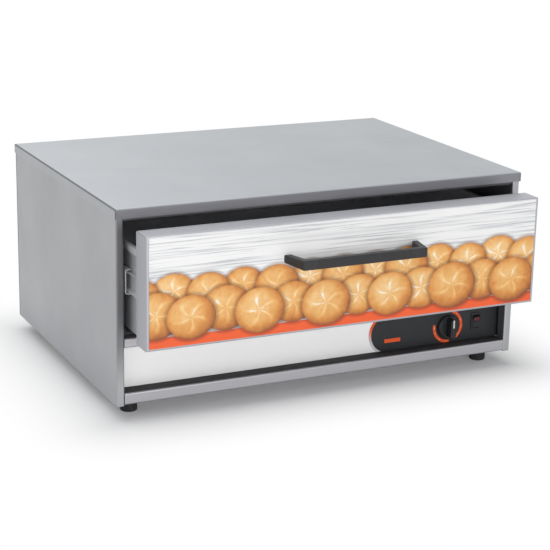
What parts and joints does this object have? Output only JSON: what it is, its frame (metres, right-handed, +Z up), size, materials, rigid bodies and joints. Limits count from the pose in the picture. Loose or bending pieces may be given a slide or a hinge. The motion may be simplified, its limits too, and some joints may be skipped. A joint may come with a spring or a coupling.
{
  "type": "countertop warming drawer",
  "caption": "Low electric warming cabinet with one pull-out drawer on telescopic slides above a recessed control strip with dial and rocker switch.",
  "frame": {"origin": "on the worktop, under the middle of the object's box with the drawer standing 75 mm open", "axes": "+X to the user's right along the drawer front, +Y to the rear, +Z up"},
  "size_m": [0.66, 0.5896, 0.3105],
  "materials": {
    "cover_steel": "satin, light",
    "shell_steel": "satin",
    "rail_steel": "satin",
    "inner_steel": "plain, dull",
    "front_steel": "satin",
    "box_steel": "satin",
    "slide_steel": "zinc plated",
    "screw_steel": "zinc plated",
    "element_sheath": "heat darkened",
    "copper_tube": "copper",
    "panel_white": "semi-gloss",
    "overlay_black": "matt",
    "print_plate": "printed, satin",
    "knob_black": "satin",
    "pointer_white": "matt",
    "switch_black": "satin",
    "lens_red": "translucent red",
    "thermostat_housing": "zinc",
    "block_white": "ceramic white",
    "bushing_black": "matt",
    "foot_rubber": "matt",
    "handle_black": "matt"
  },
  "bodies": {
    "cabinet": {"left_side_panel": "shell_steel", "right_side_panel": "shell_steel", "rear_panel": "shell_steel", "top_cover": "cover_steel", "header_rail": "inner_steel", "divider_rail": "rail_steel", "bottom_pan": "rail_steel", "drawer_deck": "inner_steel", "control_panel": "panel_white", "control_overlay": "overlay_black", "control_shield": "inner_steel", "reflector_tray": "inner_steel", "heating_element": "element_sheath", "element_brackets": "inner_steel", "thermostat_body": "thermostat_housing", "thermostat_bulb": "copper_tube", "capillary_tube": "copper_tube", "bulb_clips": "inner_steel", "rocker_housing": "switch_black", "terminal_block": "block_white", "cord_bushing": "bushing_black", "foot_front_left": "foot_rubber", "foot_front_right": "foot_rubber", "foot_rear_left": "foot_rubber", "foot_rear_right": "foot_rubber", "foot_screws": "screw_steel", "foot_nuts": "screw_steel", "rear_panel_screws": "screw_steel", "cover_screws": "screw_steel", "slide_bracket_left": "inner_steel", "slide_bracket_right": "inner_steel", "slide_cabinet_member_left": "slide_steel", "slide_cabinet_member_right": "slide_steel"},
    "drawer": {"drawer_front": "front_steel", "front_liner": "inner_steel", "front_print_plate": "print_plate", "drawer_box": "box_steel", "handle": "handle_black", "handle_screws": "screw_steel", "slide_drawer_member_left": "slide_steel", "slide_drawer_member_right": "slide_steel"},
    "slide_middle_left": {"slide_middle_member_left": "slide_steel"},
    "outer_cage_left": {"ball_cage_outer_left": "slide_steel"},
    "inner_cage_left": {"ball_cage_inner_left": "slide_steel"},
    "slide_middle_right": {"slide_middle_member_right": "slide_steel"},
    "outer_cage_right": {"ball_cage_outer_right": "slide_steel"},
    "inner_cage_right": {"ball_cage_inner_right": "slide_steel"},
    "knob": {"knob": "knob_black", "knob_pointer": "pointer_white", "thermostat_shaft": "screw_steel"},
    "rocker": {"rocker_actuator": "switch_black", "rocker_lens": "lens_red"}
  },
  "joints": [
    {"name": "drawer_slide", "type": "slide", "parent": "cabinet", "child": "drawer", "axis": [0, -1, 0], "range_m": [-0.075, 0.325]},
    {"name": "slide_middle_left_slide", "type": "slide", "parent": "cabinet", "child": "slide_middle_left", "axis": [0, -1, 0], "range_m": [-0.0375, 0.1625]},
    {"name": "outer_cage_left_slide", "type": "slide", "parent": "cabinet", "child": "outer_cage_left", "axis": [0, -1, 0], "range_m": [-0.01875, 0.08125]},
    {"name": "inner_cage_left_slide", "type": "slide", "parent": "cabinet", "child": "inner_cage_left", "axis": [0, -1, 0], "range_m": [-0.05625, 0.24375]},
    {"name": "slide_middle_right_slide", "type": "slide", "parent": "cabinet", "child": "slide_middle_right", "axis": [0, -1, 0], "range_m": [-0.0375, 0.1625]},
    {"name": "outer_cage_right_slide", "type": "slide", "parent": "cabinet", "child": "outer_cage_right", "axis": [0, -1, 0], "range_m": [-0.01875, 0.08125]},
    {"name": "inner_cage_right_slide", "type": "slide", "parent": "cabinet", "child": "inner_cage_right", "axis": [0, -1, 0], "range_m": [-0.05625, 0.24375]},
    {"name": "knob_turn", "type": "hinge", "parent": "cabinet", "child": "knob", "pos_m": [0.228, -0.14985, 0.067], "axis": [0, 1, 0], "range_deg": [0, 280]},
    {"name": "rocker_tilt", "type": "hinge", "parent": "cabinet", "child": "rocker", "pos_m": [0.279, -0.14735, 0.0692], "axis": [-1, 0, 0], "range_deg": [0, 13]}
  ],
  "couplings": [
    {"joint": "slide_middle_left_slide", "follows": "drawer_slide", "ratio": 0.5},
    {"joint": "outer_cage_left_slide", "follows": "drawer_slide", "ratio": 0.25},
    {"joint": "inner_cage_left_slide", "follows": "drawer_slide", "ratio": 0.75},
    {"joint": "slide_middle_right_slide", "follows": "drawer_slide", "ratio": 0.5},
    {"joint": "outer_cage_right_slide", "follows": "drawer_slide", "ratio": 0.25},
    {"joint": "inner_cage_right_slide", "follows": "drawer_slide", "ratio": 0.75}
  ]
}
